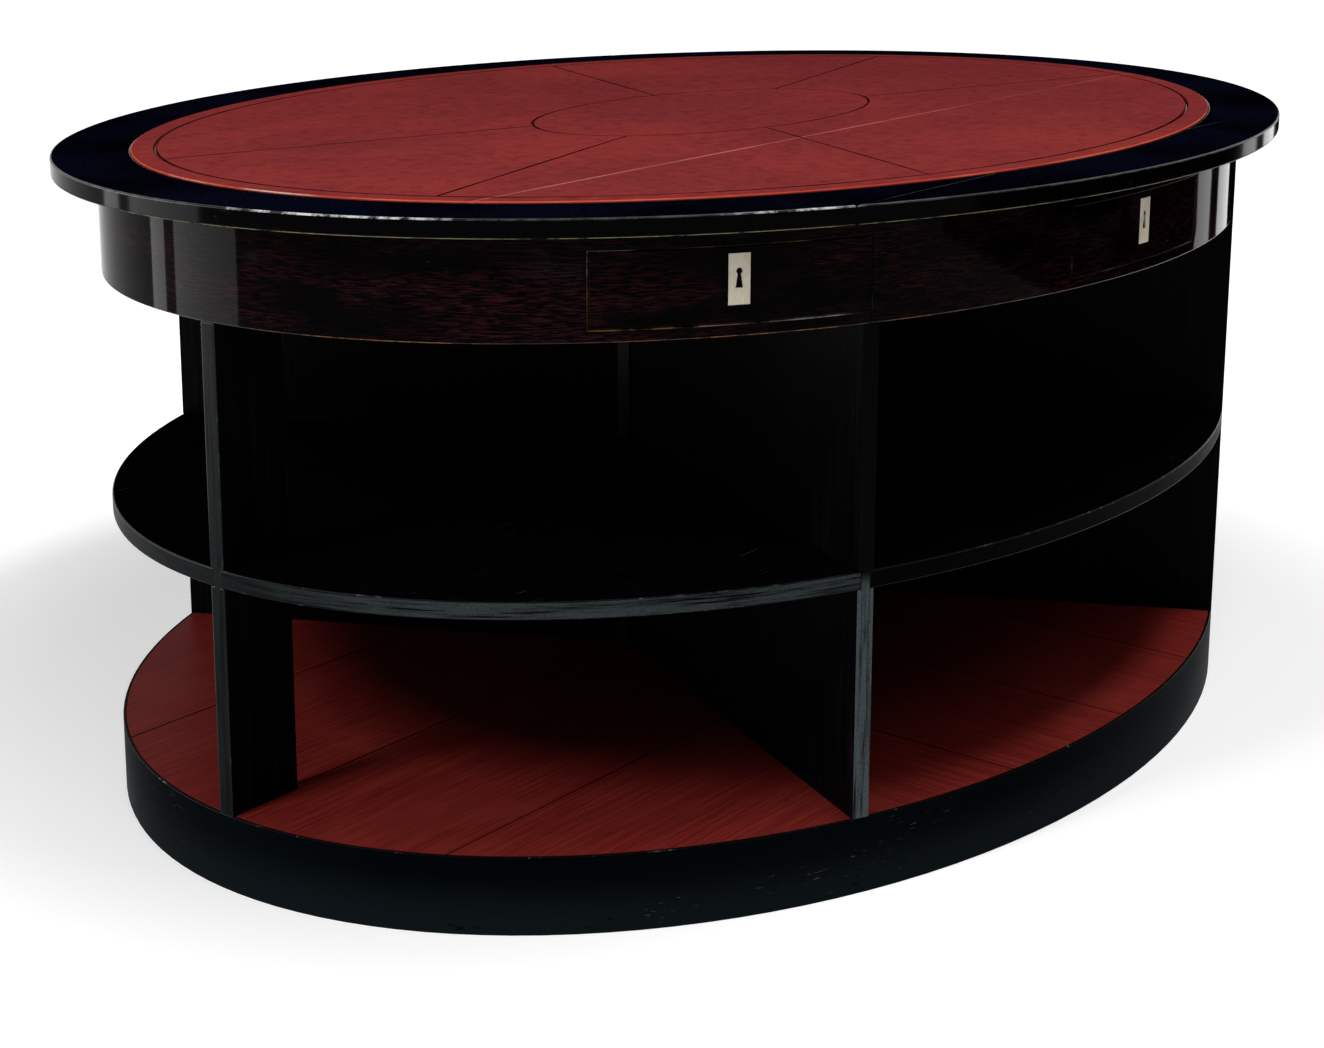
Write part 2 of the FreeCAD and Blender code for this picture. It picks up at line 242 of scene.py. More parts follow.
class Paint:
    """A material's node tree, with short calls for the nodes that the materials here share."""

    def __init__(self, name, specular, roughness, metallic=0.0):
        self.material = bpy.data.materials.new(name)
        self.material.use_nodes = True
        self.tree = self.material.node_tree
        self.shader = self.tree.nodes["Principled BSDF"]
        self.shader.inputs["Specular IOR Level"].default_value = specular
        self.shader.inputs["Roughness"].default_value = roughness
        self.shader.inputs["Metallic"].default_value = metallic
        self.place = self.add("TexCoord").outputs["Object"]

    def set(self, socket, value):
        """Links a socket to an output, or gives it a plain value."""
        if isinstance(value, bpy.types.NodeSocket):
            self.tree.links.new(value, socket)
        else:
            socket.default_value = value

    def add(self, kind, inputs=None, **settings):
        """New shader node, with its settings and inputs."""
        made = self.tree.nodes.new("ShaderNode" + kind)
        for key, value in settings.items():
            setattr(made, key, value)
        for key, value in (inputs or {}).items():
            self.set(made.inputs[key], value)
        return made

    def axes(self):
        """X, Y and Z of the piece's own place."""
        return self.add("SeparateXYZ", {"Vector": self.place}).outputs

    def noise(self, stretch, detail=3.0, rough=0.55, warp=0.0, turn=0.0, shift=(0.0, 0.0, 0.0)):
        """Noise over the piece's own place, with features of about 1 / stretch metres."""
        turned = self.add("Mapping", {"Vector": self.place, "Rotation": (0.0, 0.0, turn)})
        scaled = self.add("Mapping", {"Vector": turned.outputs[0], "Scale": stretch, "Location": shift})
        made = self.add("TexNoise", {
            "Vector": scaled.outputs[0], "Scale": 1.0, "Detail": detail, "Roughness": rough,
            "Distortion": warp})
        return made.outputs["Fac"]

    def band(self, value, low, high, most=1.0):
        """0 below low, most above high, smooth between; low may lie above high."""
        return self.add("MapRange", {
            "Value": value, "From Min": low, "From Max": high, "To Max": most},
            interpolation_type="SMOOTHSTEP").outputs[0]

    def math(self, operation, a, b=0.0):
        """One sum on two values."""
        return self.add("Math", {0: a, 1: b}, operation=operation).outputs[0]

    def both(self, a, b):
        """Product of two shares."""
        return self.math("MULTIPLY", a, b)

    def mix(self, share, a, b):
        """Colour between a and b."""
        made = self.add("Mix", data_type="RGBA")
        self.set(made.inputs[0], share)
        self.set(made.inputs[6], a if isinstance(a, bpy.types.NodeSocket) else (*a, 1.0))
        self.set(made.inputs[7], b if isinstance(b, bpy.types.NodeSocket) else (*b, 1.0))
        return made.outputs[2]

    def range(self, value, low, high):
        """A 0 to 1 value spread between low and high."""
        return self.add("MapRange", {"Value": value, "To Min": low, "To Max": high}).outputs[0]

    def bump(self, height, depth):
        """Relief of the given depth in metres."""
        made = self.add("Bump", {"Height": height, "Strength": 1.0, "Distance": depth})
        self.set(self.shader.inputs["Normal"], made.outputs[0])

    def finish(self, colour, roughness=None):
        """Puts the colour, and the roughness if it varies, on the shader."""
        self.set(self.shader.inputs["Base Color"], colour)
        if roughness is not None:
            self.set(self.shader.inputs["Roughness"], roughness)
        return self.material


def polished_figured():
    """Apron and drawer fronts: black polish over fine dark red figure, with dull bloom and a few scuffs."""
    paint = Paint("polished_figured", 0.011, 0.06)
    figure = paint.noise((55, 55, 620), detail=5, rough=0.65, warp=0.4)
    patches = paint.noise((5, 5, 18), detail=3)
    flecks = paint.both(paint.band(figure, 0.44, 0.66), paint.band(patches, 0.34, 0.66))
    colour = paint.mix(flecks, FIGURE_BLACK, FIGURE_RED)
    dull = paint.noise((7, 7, 11), detail=2, shift=(1.0, 6.0, 2.0))
    bloom = paint.both(paint.band(dull, 0.58, 0.74, 0.7), paint.band(figure, 0.30, 0.62))
    colour = paint.mix(bloom, colour, BLOOM_GREY)
    spots = paint.noise((24, 24, 60), detail=3, rough=0.7, shift=(7.0, 2.0, 5.0))
    scuffs = paint.both(paint.band(spots, 0.71, 0.80), paint.band(figure, 0.46, 0.60))
    colour = paint.mix(scuffs, colour, SCUFF_GREY)
    smears = paint.noise((9, 9, 12), detail=3)
    return paint.finish(colour, paint.range(smears, 0.035, 0.055))


def polished_rim():
    """Upper face of the rim: blue black, without gloss, with a little dust."""
    paint = Paint("polished_rim", 0.0, 0.3)
    cloud = paint.noise((5, 5, 5), detail=4)
    dust = paint.noise((420, 420, 420), detail=1)
    colour = paint.mix(paint.band(cloud, 0.3, 0.7), RIM_BLACK, RIM_BLUE)
    return paint.finish(paint.mix(paint.band(dust, 0.71, 0.78), colour, RIM_DUST))


def polished_side():
    """Outer face of the rim: clear black polish with small rubs."""
    paint = Paint("polished_side", 0.013, 0.06)
    rubs = paint.noise((60, 60, 200), detail=4, rough=0.65)
    smears = paint.noise((12, 12, 12), detail=3)
    colour = paint.mix(paint.band(rubs, 0.62, 0.74), SIDE_BLACK, SIDE_RUB)
    return paint.finish(colour, paint.range(smears, 0.03, 0.14))


def rim_upper_edge():
    """Upper edge of the rim: white along two stretches, partly polish worn through and partly a painted
    highlight, and barely elsewhere.
    """
    paint = Paint("worn_and_highlit_rim_edge", 0.12, 0.3)
    rub = paint.noise((45, 45, 45), detail=5, rough=0.7)
    x, y, _ = paint.axes()
    # Two stretches of the arris that carry the painted highlight
    at_end = paint.both(paint.band(x, -0.79, -0.83), paint.band(y, -0.04, -0.12))
    at_side = paint.both(paint.band(x, -0.48, -0.54), paint.band(y, -0.47, -0.53))
    highlight_reach = paint.range(paint.math("MAXIMUM", at_end, at_side), 0.05, 1.0)
    share = paint.both(paint.band(rub, 0.42, 0.60), highlight_reach)
    return paint.finish(paint.mix(share, BLACK, RIM_WORN_WHITE_AND_HIGHLIGHT), paint.range(rub, 0.2, 0.5))


def rim_lower_edge_and_highlight():
    """Lower edge of the rim: a thin cream line, partly where the polish has gone and partly a painted
    highlight.
    """
    paint = Paint("rim_lower_edge_and_highlight", 0.02, 0.4)
    rub = paint.noise((30, 30, 30), detail=4, rough=0.65)
    _, _, height = paint.axes()
    line = paint.both(paint.band(height, *RIM_LINE), paint.band(rub, 0.34, 0.56))
    return paint.finish(paint.mix(line, BLACK, RIM_CREAM_AND_HIGHLIGHT))


def satin_black(name, specular, stretch, scratches, dark, light):
    """Uprights and shelves: black with faint grain along the board, and fine pale scratches in places."""
    paint = Paint(name, specular, 0.35)
    grain = paint.noise(stretch, detail=4, rough=0.6, warp=0.3)
    cloud = paint.noise((4, 4, 4), detail=3)
    colour = paint.mix(paint.band(grain, 0.42, 0.72), dark, light)
    lines = paint.noise(scratches, detail=2, warp=0.2)
    where = paint.noise((7, 7, 7), detail=1, shift=(2.0, 5.0, 0.0))
    marks = paint.both(paint.band(lines, 0.68, 0.75), paint.band(where, 0.52, 0.66))
    colour = paint.mix(marks, colour, SCRATCH_GREY)
    paint.bump(grain, 0.00003)
    return paint.finish(colour, paint.range(cloud, 0.24, 0.42))


def rubbed_and_painted_face(name, specular, stretch, dark, light, upper=None, beyond=None):
    """Front edge of a board: black lacquer and a grey green that is partly rubbed satin and partly a painted
    reflection of the floor, with darker streaks along it.

    Where colours for them are given, the part above the shelves takes a darker one as painted shade under
    the top, and the part away from two corners, which carry painted light, takes another as painted shade.
    """
    paint = Paint(name, specular, 0.4)
    # Painted shade above the shelves, where a colour for it is given
    if upper:
        _, _, height = paint.axes()
        light = paint.mix(paint.band(height, SHELF_FOOT, SHELF_TOP), light, upper)
    # Painted light at two corners, painted shade away from them, where a colour for that is given
    if beyond:
        x, y, _ = paint.axes()
        light = paint.mix(paint.band(paint.both(x, y), 0.0, LIT_CORNER_REACH), beyond, light)
    streaks = paint.noise(stretch, detail=5, rough=0.65, warp=0.2)
    broad = paint.noise((6, 6, 6), detail=2)
    grit = paint.noise((520, 520, 520), detail=2)
    share = paint.both(paint.band(streaks, 0.34, 0.56), paint.band(broad, 0.22, 0.5))
    colour = paint.mix(share, dark, light)
    colour = paint.mix(paint.band(grit, 0.5, 0.7, 0.5), colour, dark)
    return paint.finish(colour, paint.range(streaks, 0.5, 0.28))


def worn_plinth():
    """Plinth band: blue black, greyer towards the foot as painted bounce light from the floor, with rubbed
    marks and small scuffs.
    """
    paint = Paint("worn_plinth", 0.003, 0.4)
    grain = paint.noise((10, 10, 160), detail=4, rough=0.6)
    cloud = paint.noise((3, 3, 9), detail=4)
    _, _, height = paint.axes()
    colour = paint.mix(paint.band(cloud, 0.3, 0.7), PLINTH_BLACK, PLINTH_BLUE)
    # Painted bounce light: greyer towards the foot
    colour = paint.mix(paint.band(height, *PLINTH_BOUNCE_FADE), colour, PLINTH_FOOT_BOUNCE)
    rubs = paint.noise((22, 22, 70), detail=5, rough=0.7)
    colour = paint.mix(paint.band(rubs, 0.62, 0.72), colour, PLINTH_RUB)
    scuffs = paint.noise((60, 60, 520), detail=2, warp=0.6)
    near = paint.noise((4, 4, 16), detail=1, shift=(3.0, 1.0, 0.0))
    marks = paint.both(paint.band(scuffs, 0.68, 0.74), paint.band(near, 0.55, 0.66))
    colour = paint.mix(marks, colour, PLINTH_SCUFF)
    paint.bump(grain, 0.00004)
    return paint.finish(colour, paint.range(cloud, 0.3, 0.52))


def worn_edge(name, specular, lacquer, wear, low, high, stretch=60):
    """Rounded edge of a lacquered piece, rubbed through in places."""
    paint = Paint(name, specular, 0.3)
    rub = paint.noise((stretch, stretch, stretch), detail=4, rough=0.65)
    reach = paint.noise((5, 5, 5), detail=2)
    share = paint.both(paint.band(rub, low, high), paint.band(reach, 0.35, 0.6))
    return paint.finish(paint.mix(share, lacquer, wear), paint.range(rub, 0.2, 0.5))


def drawer_edge():
    """Edges of drawers and their openings: black, rubbed in places to pale grey or to brown wood."""
    paint = Paint("worn_drawer_edge", 0.02, 0.35)
    rub = paint.noise((40, 40, 40), detail=4, rough=0.65)
    reach = paint.noise((9, 9, 9), detail=2, shift=(3.0, 1.0, 4.0))
    kind = paint.noise((6, 6, 6), detail=1, shift=(0.0, 4.0, 1.0))
    wear = paint.mix(paint.band(kind, 0.46, 0.54), DRAWER_EDGE_BROWN, DRAWER_EDGE_GREY)
    share = paint.both(paint.band(rub, 0.36, 0.58), paint.band(reach, 0.42, 0.60))
    return paint.finish(paint.mix(share, DRAWER_EDGE_BLACK, wear))


def long_line(paint):
    """Share of the pale line that runs along the covering, stronger towards its left end."""
    x, y, _ = paint.axes()
    level = paint.math("SUBTRACT", y, paint.both(x, LONG_LINE_SLOPE))
    away = paint.math("ABSOLUTE", paint.math("SUBTRACT", level, LONG_LINE_Y))
    patchy = paint.range(paint.band(paint.noise((5, 5, 5), detail=4), 0.38, 0.60), 0.3, 1.0)
    leftward = paint.range(paint.band(x, 0.45, -0.15), 0.35, 1.0)
    return paint.both(paint.band(away, *LONG_LINE_WIDTH, 0.85), paint.both(patchy, leftward))


def red_covering():
    """Covering of the top: finely mottled red, with small scratches and one long pale line."""
    paint = Paint("red_covering", 0.0, 0.55)
    broad = paint.noise((2.4, 2.8, 2.0), detail=5, rough=0.62)
    mottle = paint.noise((58, 58, 58), detail=6, rough=0.72)
    grit = paint.noise((340, 340, 340), detail=2)
    colour = paint.mix(paint.band(broad, 0.36, 0.64), COVERING_DULL, COVERING_RED)
    colour = paint.mix(paint.band(mottle, 0.48, 0.72, 0.42), colour, COVERING_LIGHT)
    colour = paint.mix(paint.band(mottle, 0.50, 0.30, 0.55), colour, COVERING_DARK)
    colour = paint.mix(paint.band(grit, 0.55, 0.72, 0.35), colour, COVERING_GRIT)
    lines = paint.noise((9, 620, 60), detail=2, warp=0.2, turn=math.radians(12))
    where = paint.noise((6, 6, 6), detail=1, shift=(4.0, 0.0, 0.0))
    fine = paint.both(paint.band(lines, 0.70, 0.76, 0.55), paint.band(where, 0.5, 0.64))
    colour = paint.mix(fine, colour, COVERING_SCRATCH)
    colour = paint.mix(long_line(paint), colour, COVERING_LINE)
    paint.bump(mottle, 0.00006)
    return paint.finish(colour, paint.range(mottle, 0.45, 0.65))


def covering_edge():
    """Outer edge of the covering: bright orange red, partly its own red and partly a painted highlight,
    turning cream at the ends as a painted highlight.
    """
    paint = Paint("covering_outer_edge_highlight", 0.0, 0.5)
    along = paint.noise((9, 9, 9), detail=4)
    reach = paint.math("ABSOLUTE", paint.axes()[0])
    # Painted highlight: cream towards the ends
    end_highlight = paint.band(paint.math("ADD", reach, paint.both(along, 0.2)), 0.88, 0.94)
    colour = paint.mix(paint.band(along, 0.35, 0.65), COVERING_EDGE_RED_HIGHLIGHT, COVERING_EDGE_ORANGE_HIGHLIGHT)
    return paint.finish(paint.mix(end_highlight, colour, COVERING_EDGE_CREAM_HIGHLIGHT))


def dark_joint(name, pale, deep):
    """Edge of a seam or joint, from deep to pale along its length."""
    paint = Paint(name, 0.0, 0.5)
    along = paint.noise((7, 7, 7), detail=4)
    return paint.finish(paint.mix(paint.band(along, 0.35, 0.65), deep, pale))


def stained_boards():
    """Floor boards: red stain over fine grain, along Y in the side bays and along X at the ends."""
    paint = Paint("stained_boards", 0.01, 0.45)
    x, y, _ = paint.axes()
    reach = paint.math("ABSOLUTE", x)
    depth = paint.math("ABSOLUTE", y)
    edge = paint.math("SUBTRACT", reach, paint.both(depth, PARTITION_SLOPE))
    at_end = paint.math("GREATER_THAN", edge, PARTITION_MEET)
    across = paint.noise((330, 9, 40), detail=4, rough=0.6, warp=0.1)
    along = paint.noise((9, 330, 40), detail=4, rough=0.6, warp=0.1)
    at_side = paint.math("SUBTRACT", 1.0, at_end)
    grain = paint.math("ADD", paint.both(along, at_end), paint.both(across, at_side))
    broad = paint.noise((6, 6, 6), detail=3)
    dark = paint.noise((33, 33, 33), detail=5, rough=0.7)
    colour = paint.mix(paint.band(grain, 0.36, 0.66), BOARD_DULL, BOARD_RED)
    colour = paint.mix(paint.band(broad, 0.5, 0.75, 0.4), colour, BOARD_LIGHT)
    colour = paint.mix(paint.band(dark, 0.60, 0.76, 0.4), colour, BOARD_DARK)
    paint.bump(grain, 0.00006)
    return paint.finish(colour, paint.range(grain, 0.38, 0.55))


def bone():
    """Keyhole plates: cream bone with fine darker pores along the plate."""
    paint = Paint("bone", 0.3, 0.35)
    pores = paint.noise((900, 900, 70), detail=3)
    cloud = paint.noise((60, 60, 40), detail=3)
    colour = paint.mix(paint.band(cloud, 0.35, 0.65), BONE_DULL, BONE_PALE)
    return paint.finish(paint.mix(paint.band(pores, 0.58, 0.72, 0.6), colour, BONE_PORE))


def plain_wood():
    """Drawer insides, deck, guides and boards out of sight: planed brown wood."""
    paint = Paint("plain_wood", 0.3, 0.55)
    grain = paint.noise((14, 14, 220), detail=5, rough=0.6, warp=0.6)
    rings = paint.noise((60, 60, 9), detail=3)
    colour = paint.mix(paint.band(grain, 0.35, 0.7), WOOD_DULL, WOOD_PALE)
    colour = paint.mix(paint.band(rings, 0.5, 0.7, 0.3), colour, WOOD_RING)
    paint.bump(grain, 0.0001)
    return paint.finish(colour, paint.range(grain, 0.48, 0.65))


def metal(name, dull, bright):
    """Lock metal, brushed along the case."""
    paint = Paint(name, 0.5, 0.3, metallic=1.0)
    brush = paint.noise((60, 60, 1500), detail=3)
    stain = paint.noise((90, 90, 90), detail=4)
    colour = paint.mix(paint.band(stain, 0.35, 0.65), dull, bright)
    paint.bump(brush, 0.00002)
    return paint.finish(colour, paint.range(brush, 0.22, 0.42))


# Materials that several finishes share
figured = polished_figured()
opening_edge = drawer_edge()
satin_upright = satin_black("satin_upright", 0.012, (150, 150, 7), (430, 430, 9), JET, BROWN_BLACK)
satin_shelf = satin_black("satin_shelf", 0.0, (7, 150, 60), (14, 330, 60), JET, BLACK)
upright_edge = worn_edge("worn_upright_edge", 0.1, BLACK, UPRIGHT_WEAR, 0.5, 0.7)

# Materials of each finish, in the order of their places above
PAINTS = {
    "apron": (
        figured,
        worn_edge("worn_apron_edge", 0.2, APRON_EDGE_BLACK, APRON_EDGE_BROWN, 0.40, 0.58),
        opening_edge),
    "drawer": (figured, opening_edge),
    "rim": (
        polished_rim(),
        rim_upper_edge(),
        polished_side(),
        rim_lower_edge_and_highlight(),
        dark_joint("rim_joint", RIM_JOINT_PALE, JET)),
    # Front faces of uprights: grey green that is partly rubbed and partly a painted reflection of the floor
    "upright": (
        satin_upright,
        upright_edge,
        rubbed_and_painted_face("rubbed_upright_face_and_reflection", 0.012, UPRIGHT_STREAKS, BLACK, DARK_RUBBED_AND_REFLECTION)),
    # Two partitions: front faces paler below the shelves as painted light and reflection, jet above them as
    # painted shade under the top
    "kicked_upright": (
        satin_upright,
        upright_edge,
        rubbed_and_painted_face("face_lit_below_shaded_above", 0.012, UPRIGHT_STREAKS, BLACK, PALE_RUBBED_AND_REFLECTION, upper=JET)),
    "shelf": (
        satin_shelf,
        worn_edge("worn_shelf_edge", 0.05, BLACK, SHELF_WEAR, 0.52, 0.7),
        rubbed_and_painted_face("rubbed_shelf_face", 0.004, SHELF_STREAKS, JET, BLACK)),
    # End shelves: front faces lighter at two corners as painted light, darker elsewhere as painted shade
    "end_shelf": (
        satin_shelf,
        worn_edge("worn_end_shelf_edge", 0.05, BLACK, END_SHELF_WEAR, 0.52, 0.7),
        rubbed_and_painted_face("end_shelf_face_lit_at_corners", 0.01, SHELF_STREAKS, BLACK, RUBBED_AND_REFLECTION, beyond=DARK_RUBBED_AND_REFLECTION)),
    "plinth": (
        worn_plinth(),
        worn_edge("worn_plinth_edge", 0.02, BLACK, PLINTH_WEAR, 0.60, 0.70, stretch=38)),
    "covering": (
        red_covering(),
        dark_joint("covering_seam_edge", SEAM_PALE, SEAM_DEEP),
        covering_edge()),
    "boards": (
        stained_boards(),
        dark_joint("board_joint_edge", BOARD_JOINT_PALE, BOARD_JOINT_DEEP)),
    "bone": (bone(),) * 2,
    "wood": (plain_wood(),) * 2,
    "brass": (metal("aged_brass", *BRASS),) * 2,
    "steel": (metal("lock_steel", *STEEL),) * 2,
}

# Ovals that the outer faces of some finishes follow
OVALS = {
    "apron": BODY_HALF, "drawer": BODY_HALF, "plinth": BODY_HALF, "shelf": BODY_HALF,
    "end_shelf": BODY_HALF, "rim": TOP_HALF,
}

# Finish of a node and radius of its edges, by the start of its name, or the end for a drawer's pieces
FINISHES = (
    ("apron_", "apron", 0.0012), ("top_rim", "rim", 0.0028), ("top_border", "covering", 0.0013),
    ("top_field", "covering", 0.0012), ("top_core", "wood", 0.0005), ("plinth_band", "plinth", 0.0009),
    ("floor_board", "wood", 0.0008), ("floor_lining", "boards", 0.0007), ("end_fin", "upright", 0.0012),
    ("partition_front_left", "kicked_upright", 0.0012), ("partition_back_right", "kicked_upright", 0.0012),
    ("partition_", "upright", 0.0012), ("centre_spine", "upright", 0.0012),
    ("end_shelf", "end_shelf", 0.0015), ("side_shelf", "shelf", 0.0015),
    ("drawer_deck", "wood", 0.0008), ("drawer_guides", "wood", 0.0008),
)
DRAWER_FINISHES = (
    ("_front", "drawer", 0.0009), ("_box", "wood", 0.0006), ("_bottom", "wood", 0.0004),
    ("_escutcheon", "bone", 0.00025), ("_lock", "brass", 0.0004), ("_bolt", "steel", 0.0004),
)


def finish_of(node):
    """Finish of a node and the radius of its edges."""
    for start, paint, radius in FINISHES:
        if node.startswith(start):
            return paint, radius
    for end, paint, radius in DRAWER_FINISHES:
        if node.endswith(end):
            return paint, radius
    raise KeyError("no finish for " + node)


def solids_of(mesh):
    """Triangles of each closed solid in a node's mesh, as lists of welded corner places."""
    def key(index):
        return tuple(round(value / WELD) for value in mesh.vertices[index].co)
    solids = []
    current = []
    open_edges = set()
    for face in mesh.polygons:
        corners = [key(index) for index in face.vertices]
        current.append(corners)
        for first, second in zip(corners, corners[1:] + corners[:1]):
            open_edges ^= {frozenset((first, second))}
        if not open_edges:
            solids.append(current)
            current = []
    return solids + ([current] if current else [])


def rebuilt(node):
    """The node's solids as clean meshes in one bmesh: welded, with flat faces joined up."""
    made = bmesh.new()
    for solid in solids_of(frame["nodes"][node].data):
        places = {}
        for corners in solid:
            for corner in corners:
                if corner not in places:
                    places[corner] = made.verts.new([value * WELD for value in corner])
        for corners in solid:
            made.faces.new([places[corner] for corner in corners])
    made.normal_update()
    bmesh.ops.dissolve_limit(
        made, angle_limit=FLAT_ANGLE, verts=made.verts, edges=made.edges, use_dissolve_boundaries=False)
    return made


def oval_normal(place, half):
    """Direction that an oval's wall looks in at a place."""
    return Vector((place.x / half[0] ** 2, place.y / half[1] ** 2, 0.0)).normalized()


def share_of(face, half):
    """How far out a face lies, as a share of an oval."""
    return math.hypot(face.center.x / half[0], face.center.y / half[1])


def facing(face, half):
    """How squarely a face looks outwards from an oval."""
    return face.normal.dot(oval_normal(face.center, half))


def follow_oval(piece, half):
    """Keeps the even normals, and makes them exact on the faces that follow an oval."""
    settled = piece.evaluated_get(bpy.context.evaluated_depsgraph_get()).data
    normals = [corner.vector.copy() for corner in settled.corner_normals]
    for face in piece.data.polygons:
        along = facing(face, half) > ALONG_OVAL and share_of(face, half) > ON_OVAL
        if face.material_index == FACE and along:
            for corner in face.loop_indices:
                place = piece.data.vertices[piece.data.loops[corner].vertex_index].co
                normals[corner] = oval_normal(place, half)
    piece.modifiers.clear()
    piece.data.normals_split_custom_set(normals)


def dress(node, paint, radius):
    """Piece that stands for a node: the same solids with rounded, separately finished edges."""
    made = rebuilt(node)
    sharp = [e for e in made.edges if len(e.link_faces) == 2 and e.calc_face_angle(0.0) > SHARP_ANGLE]
    bmesh.ops.bevel(
        made, geom=sharp, offset=radius, offset_type="OFFSET", segments=EDGE_SEGMENTS, profile=0.5,
        affect="EDGES", clamp_overlap=True, material=EDGE, loop_slide=True)
    mesh = bpy.data.meshes.new("dressed_" + node)
    made.to_mesh(mesh)
    made.free()
    mesh.shade_smooth()
    for material in PAINTS[paint]:
        mesh.materials.append(material)
    piece = bpy.data.objects.new("dressed_" + node, mesh)
    bpy.context.scene.collection.objects.link(piece)
    even = piece.modifiers.new("even_normals", "WEIGHTED_NORMAL")
    even.keep_sharp = True
    even.weight = NORMAL_WEIGHT
    if paint in OVALS:
        follow_oval(piece, OVALS[paint])
    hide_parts(node)
    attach(piece, frame["nodes"][node]["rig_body"])
    return piece


def paint_border_edge(piece):
    """Gives the covering's outer edge its own finish."""
    for face in piece.data.polygons:
        if face.material_index == EDGE and share_of(face, BORDER_MIDDLE_HALF) > 1.0:
            face.material_index = OUTER


def paint_rim(piece):
    """Gives the rim's outer face, its lower and upright edges and its joints their own finishes."""
    for face in piece.data.polygons:
        if face.material_index == FACE and facing(face, TOP_HALF) > LOOKS_OUT:
            face.material_index = OUTER
        elif face.material_index == EDGE and INNER_RIM < share_of(face, TOP_HALF) < OUTER_RIM:
            face.material_index = JOINT if face.normal.z < LOOKS_UP else FACE
        elif face.material_index == EDGE and face.center.z < OVER_RIM_MIDDLE:
            face.material_index = LOWER


def paint_openings(piece):
    """Gives the edges above the apron's foot the finish of the drawers' edges."""
    for face in piece.data.polygons:
        if face.material_index == EDGE and face.center.z > OVER_APRON_FOOT:
            face.material_index = OUTER


def paint_outer_face(piece):
    """Gives the faces that follow the body's oval their own finish, and leaves edges deep inside unworn."""
    for face in piece.data.polygons:
        share = share_of(face, BODY_HALF)
        if face.material_index == FACE and facing(face, BODY_HALF) > LOOKS_OUT and share > NEAR_OVAL:
            face.material_index = OUTER
        elif face.material_index == EDGE and share < DEEP_INSIDE:
            face.material_index = FACE


PAINTERS = {
    "covering": paint_border_edge, "rim": paint_rim, "apron": paint_openings,
    "upright": paint_outer_face, "kicked_upright": paint_outer_face,
    "shelf": paint_outer_face, "end_shelf": paint_outer_face,
}

for node in sorted(frame["nodes"]):
    paint_name, edge_radius = finish_of(node)
    dressed = dress(node, paint_name, edge_radius)
    if paint_name in PAINTERS:
        PAINTERS[paint_name](dressed)


def seen_ray(tree):
    """1 for a ray from the camera, a mirror or a glass, 0 for the light that falls on things."""
    path = tree.nodes.new("ShaderNodeLightPath")
    first = tree.nodes.new("ShaderNodeMath")
    first.operation = "MAXIMUM"
    tree.links.new(path.outputs["Is Camera Ray"], first.inputs[0])
    tree.links.new(path.outputs["Is Glossy Ray"], first.inputs[1])
    both = tree.nodes.new("ShaderNodeMath")
    both.operation = "MAXIMUM"
    tree.links.new(first.outputs[0], both.inputs[0])
    tree.links.new(path.outputs["Is Transmission Ray"], both.inputs[1])
    return both.outputs[0]


# Floor: pale, and white where it is seen clear of the shadow
floor_mesh = bpy.data.meshes.new("studio_floor")
ground = bmesh.new()
bmesh.ops.create_circle(ground, cap_ends=True, radius=FLOOR_RADIUS, segments=FLOOR_SIDES)
ground.to_mesh(floor_mesh)
ground.free()
studio = Paint("studio_floor", 0.0, 0.8)
speckle = studio.noise((2, 2, 2), detail=3)
studio.set(studio.shader.inputs["Emission Color"], WHITE)
far = studio.add("VectorMath", {0: studio.place}, operation="LENGTH").outputs["Value"]
glow = studio.range(studio.band(far, *GLOW_REACH), *FLOOR_GLOW)
studio.set(studio.shader.inputs["Emission Strength"], studio.both(seen_ray(studio.tree), glow))
floor_mesh.materials.append(studio.finish(studio.mix(speckle, *FLOOR_GREYS)))
floor = bpy.data.objects.new("studio_floor", floor_mesh)
bpy.context.scene.collection.objects.link(floor)

# World: white where it is seen or mirrored, and a soft even light
world = bpy.data.worlds.new("studio")
bpy.context.scene.world = world
world.use_nodes = True
tree = world.node_tree
strength = tree.nodes.new("ShaderNodeMapRange")
strength.inputs["To Min"].default_value = WORLD_FILL
strength.inputs["To Max"].default_value = 1.0
tree.links.new(seen_ray(tree), strength.inputs["Value"])
tree.nodes["Background"].inputs["Color"].default_value = WHITE
tree.links.new(strength.outputs[0], tree.nodes["Background"].inputs["Strength"])


def soft_light(name, place, aim, width, height, level, lights_surfaces=True):
    """Rectangular soft light, unseen by the camera, which may show only as a reflection."""
    data = bpy.data.lights.new(name, "AREA")
    data.shape = "RECTANGLE"
    data.size = width
    data.size_y = height
    data.energy = LAMP_FACTOR * level * width * height
    lamp = bpy.data.objects.new(name, data)
    lamp.location = place
    lamp.rotation_euler = (Vector(aim) - Vector(place)).to_track_quat("-Z", "Y").to_euler()
    lamp.visible_camera = False
    lamp.visible_diffuse = lights_surfaces
    bpy.context.scene.collection.objects.link(lamp)


def around(seen_from, reach, angle, height):
    """Point at a plan angle and distance from a place."""
    turn = math.radians(angle)
    return Vector((seen_from[0] + reach * math.cos(turn), seen_from[1] + reach * math.sin(turn), height))


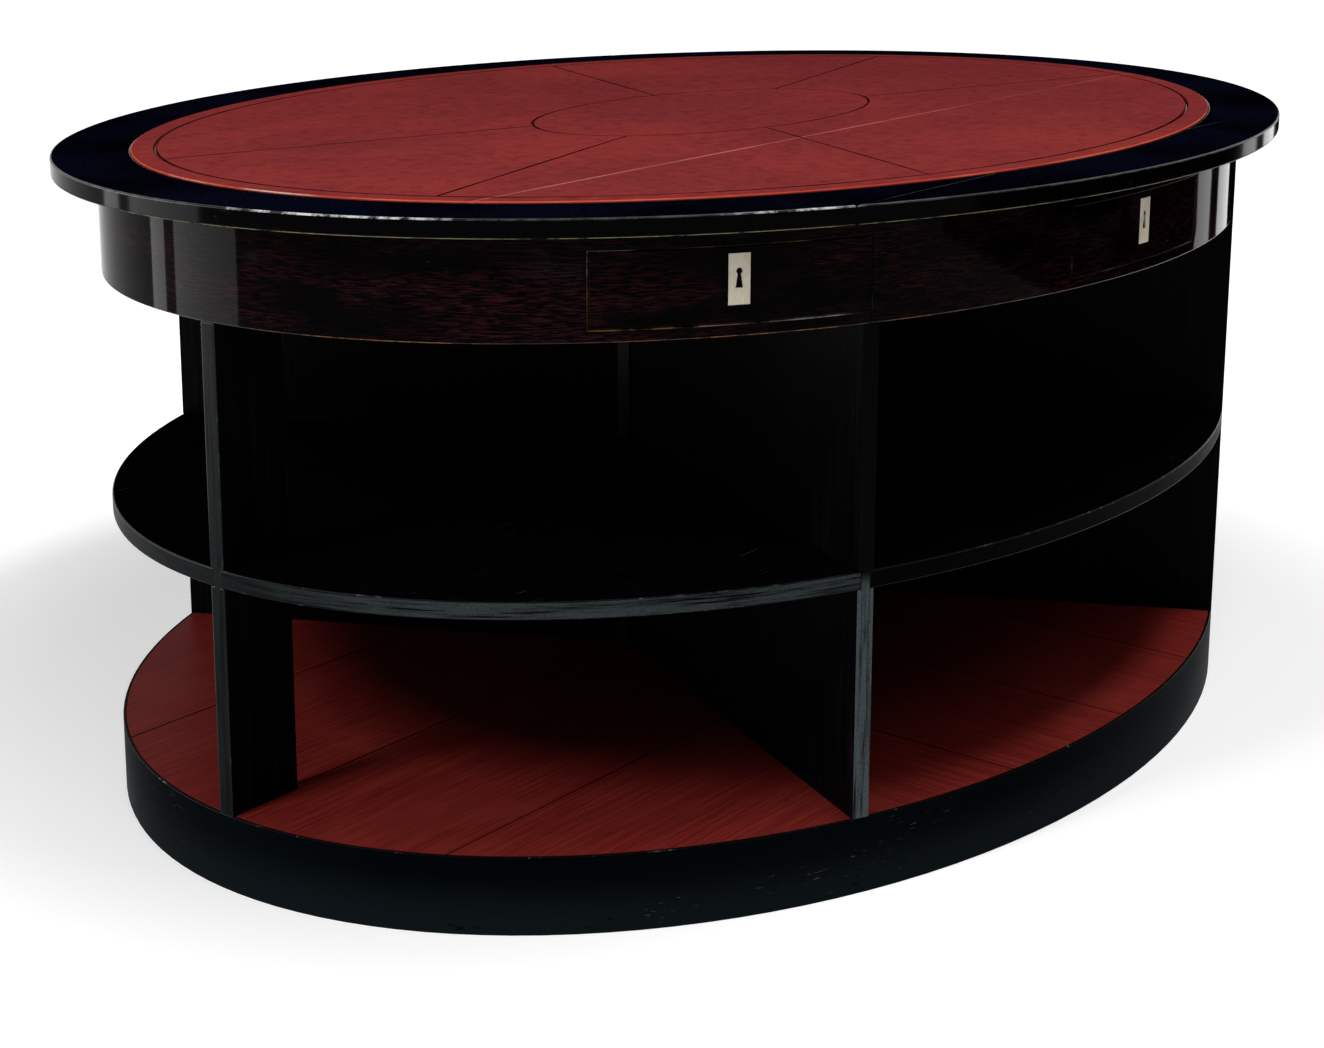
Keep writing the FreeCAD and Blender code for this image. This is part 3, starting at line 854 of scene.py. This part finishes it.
def reflected_panel(name, seen_from, start, end, level):
    """Upright panel on the floor that shows only in polished faces, between two plan angles from a place."""
    first = around(seen_from, PANEL_REACH, start, PANEL_HEIGHT / 2)
    last = around(seen_from, PANEL_REACH, end, PANEL_HEIGHT / 2)
    aim = Vector((seen_from[0], seen_from[1], PANEL_HEIGHT / 2))
    soft_light(name, (first + last) / 2, aim, (last - first).length, PANEL_HEIGHT, level, False)


def dark_card(name, seen_from, start, end):
    """Upright black card behind the panels, that shows only in polished faces."""
    corners = [around(seen_from, CARD_REACH, angle, height)
               for angle, height in ((start, 0.0), (end, 0.0), (end, CARD_HEIGHT), (start, CARD_HEIGHT))]
    mesh = bpy.data.meshes.new(name)
    mesh.from_pydata(corners, [], [(0, 1, 2, 3)])
    mesh.materials.append(Paint(name, 0.0, 1.0).finish(CARD_BLACK))
    card = bpy.data.objects.new(name, mesh)
    card.visible_camera = False
    card.visible_diffuse = False
    card.visible_shadow = False
    bpy.context.scene.collection.objects.link(card)


soft_light("overhead_softbox", (0.3, -1.25, 3.6), (0.2, -0.4, 0.4), 2.4, 0.6, 12.0)
soft_light("front_softbox", (-1.7, -2.2, 3.3), (0.0, 0.0, 0.4), 2.0, 2.0, 1.2)
soft_light("left_key", (-3.05, 0.29, 2.3), (-0.65, 0.0, 0.1), 0.7, 0.7, 28.0)
reflected_panel("wide_panel", LEFT_END, 117.0, 144.0, 9.0)
reflected_panel("narrow_panel", LEFT_END, 105.0, 112.0, 9.0)
reflected_panel("right_panel", RIGHT_END, -12.0, -5.0, 2.5)
reflected_panel("far_right_panel", RIGHT_END, 0.0, 9.0, 2.5)
dark_card("right_card", RIGHT_END, -78.0, 24.0)

camera_data = bpy.data.cameras.new("camera")
camera_data.sensor_width = SENSOR_WIDTH
camera_data.lens = SENSOR_WIDTH * FOCAL_PIXELS / PHOTO_WIDTH
camera_data.shift_x, camera_data.shift_y = CAMERA_SHIFT
camera = bpy.data.objects.new("camera", camera_data)
camera.location = CAMERA_PLACE
camera.rotation_euler = (math.radians(90 + CAMERA_PITCH), 0.0, math.radians(CAMERA_HEADING - 90))
bpy.context.scene.collection.objects.link(camera)
bpy.context.scene.camera = camera

bpy.context.scene.view_settings.view_transform = "Standard"
